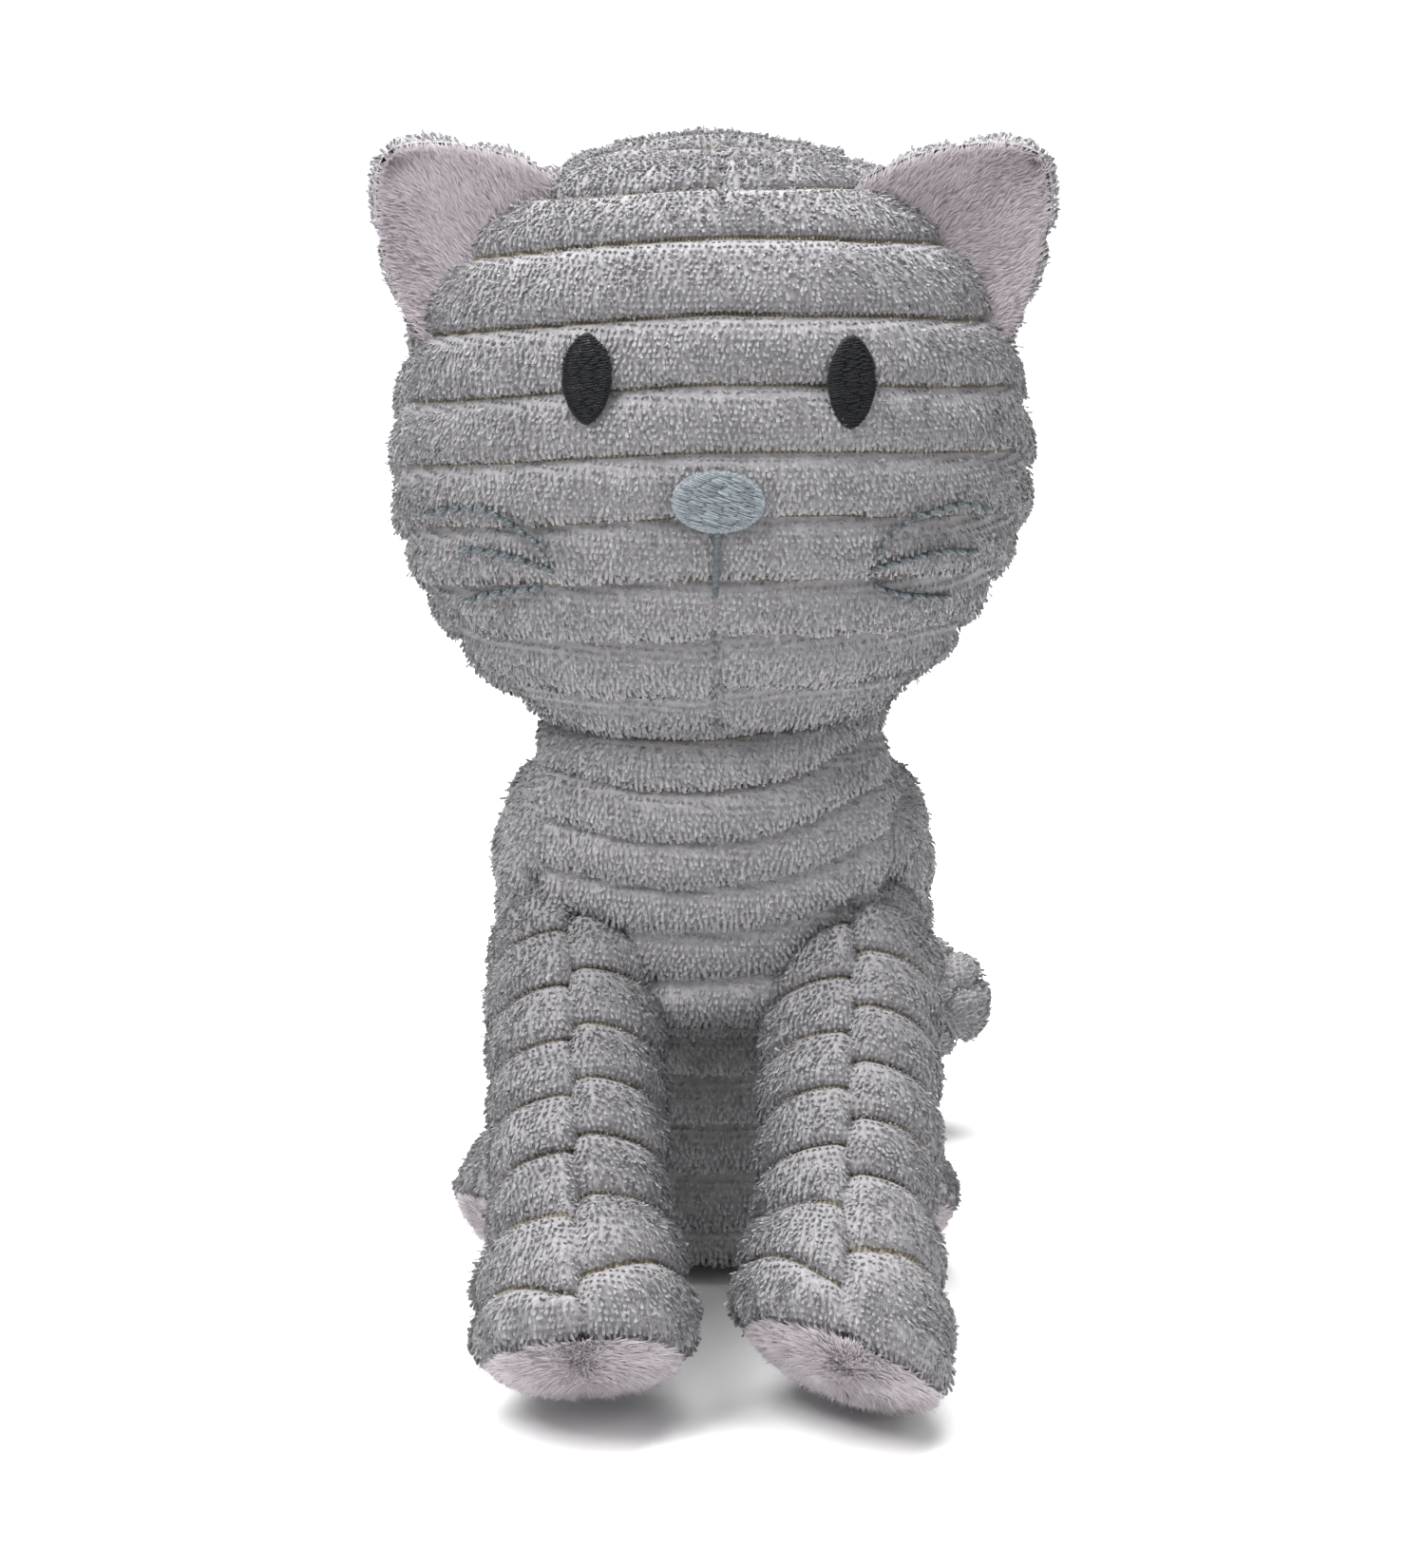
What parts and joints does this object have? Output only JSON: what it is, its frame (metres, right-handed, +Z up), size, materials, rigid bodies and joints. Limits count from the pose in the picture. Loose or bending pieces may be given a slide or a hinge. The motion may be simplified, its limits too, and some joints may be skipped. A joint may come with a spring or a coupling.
{
  "type": "plush cat",
  "caption": "Sitting stuffed toy cat in ribbed plush with embroidered face, velour ears and soles, and limbs, tail, ears and head that bend and spring back.",
  "frame": {"origin": "middle of the flat seat, on the surface the cat sits on", "axes": "+Z up, -Y the way the face looks, +X the viewer's right when facing the cat"},
  "size_m": [0.1175, 0.1877, 0.2059],
  "materials": {
    "ribbed_plush": "grey wide-rib knitted plush, short pile combed down",
    "velour": "pinkish grey velour with a soft longer pile",
    "stuffing": "white polyester fibre",
    "bag_cloth": "plain woven lining cloth",
    "pellets": "white plastic pellets",
    "eye_thread": "near-black satin-stitch thread",
    "nose_thread": "slate blue-grey embroidery thread"
  },
  "bodies": {
    "torso": {"chest_panel": "ribbed_plush", "belly_panel": "ribbed_plush", "back_panel": "ribbed_plush", "side_panel_left": "ribbed_plush", "side_panel_right": "ribbed_plush", "seat_panel": "ribbed_plush", "pellet_bag": "bag_cloth", "pellet_fill": "pellets", "torso_stuffing": "stuffing"},
    "neck": {"neck_stuffing": "stuffing"},
    "head": {"face_panel": "ribbed_plush", "head_back_panel": "ribbed_plush", "head_stuffing": "stuffing", "eye_left_embroidery": "eye_thread", "eye_right_embroidery": "eye_thread", "nose_embroidery": "nose_thread", "mouth_line_embroidery": "nose_thread", "whiskers_left": "nose_thread", "whiskers_right": "nose_thread"},
    "tail": {"tail_top_panel": "ribbed_plush", "tail_bottom_panel": "ribbed_plush", "tail_stuffing": "stuffing"},
    "ear_left": {"ear_left_lining": "velour", "ear_left_back": "ribbed_plush"},
    "front_leg_left": {"front_leg_left_outer_panel": "ribbed_plush", "front_leg_left_inner_panel": "ribbed_plush", "front_leg_left_sole": "velour", "front_leg_left_stuffing": "stuffing"},
    "hind_leg_left": {"hind_leg_left_outer_panel": "ribbed_plush", "hind_leg_left_inner_panel": "ribbed_plush", "hind_leg_left_sole": "velour", "hind_leg_left_stuffing": "stuffing"},
    "ear_right": {"ear_right_lining": "velour", "ear_right_back": "ribbed_plush"},
    "front_leg_right": {"front_leg_right_outer_panel": "ribbed_plush", "front_leg_right_inner_panel": "ribbed_plush", "front_leg_right_sole": "velour", "front_leg_right_stuffing": "stuffing"},
    "hind_leg_right": {"hind_leg_right_outer_panel": "ribbed_plush", "hind_leg_right_inner_panel": "ribbed_plush", "hind_leg_right_sole": "velour", "hind_leg_right_stuffing": "stuffing"}
  },
  "joints": [
    {"name": "head_turn", "type": "hinge", "parent": "torso", "child": "neck", "pos_m": [0, -0.03, 0.095], "axis": [0, 0, 1], "range_deg": [-35, 35], "stiffness_Nm_per_rad": 0.4},
    {"name": "head_nod", "type": "hinge", "parent": "neck", "child": "head", "pos_m": [0, -0.03, 0.095], "axis": [1, 0, 0], "range_deg": [-12, 18], "stiffness_Nm_per_rad": 0.5},
    {"name": "tail_wag", "type": "hinge", "parent": "torso", "child": "tail", "pos_m": [0.008, 0.032, 0.013], "axis": [0, 0, 1], "range_deg": [-25, 25], "stiffness_Nm_per_rad": 0.05},
    {"name": "front_leg_left_swing", "type": "hinge", "parent": "torso", "child": "front_leg_left", "pos_m": [-0.025, -0.044, 0.0656], "axis": [-1, 0, 0], "range_deg": [-10, 45], "stiffness_Nm_per_rad": 0.25},
    {"name": "hind_leg_left_lift", "type": "hinge", "parent": "torso", "child": "hind_leg_left", "pos_m": [-0.028, -0.012, 0.0142], "axis": [-1, 0, 0], "range_deg": [-8, 30], "stiffness_Nm_per_rad": 0.15},
    {"name": "ear_left_fold", "type": "hinge", "parent": "head", "child": "ear_left", "pos_m": [-0.0365, -0.046, 0.1845], "axis": [0.7009, 0, 0.7133], "range_deg": [-25, 25], "stiffness_Nm_per_rad": 0.02},
    {"name": "front_leg_right_swing", "type": "hinge", "parent": "torso", "child": "front_leg_right", "pos_m": [0.025, -0.044, 0.0656], "axis": [-1, 0, 0], "range_deg": [-10, 45], "stiffness_Nm_per_rad": 0.25},
    {"name": "hind_leg_right_lift", "type": "hinge", "parent": "torso", "child": "hind_leg_right", "pos_m": [0.028, -0.012, 0.0142], "axis": [-1, 0, 0], "range_deg": [-8, 30], "stiffness_Nm_per_rad": 0.15},
    {"name": "ear_right_fold", "type": "hinge", "parent": "head", "child": "ear_right", "pos_m": [0.0365, -0.046, 0.1845], "axis": [0.7009, 0, -0.7133], "range_deg": [-25, 25], "stiffness_Nm_per_rad": 0.02}
  ]
}
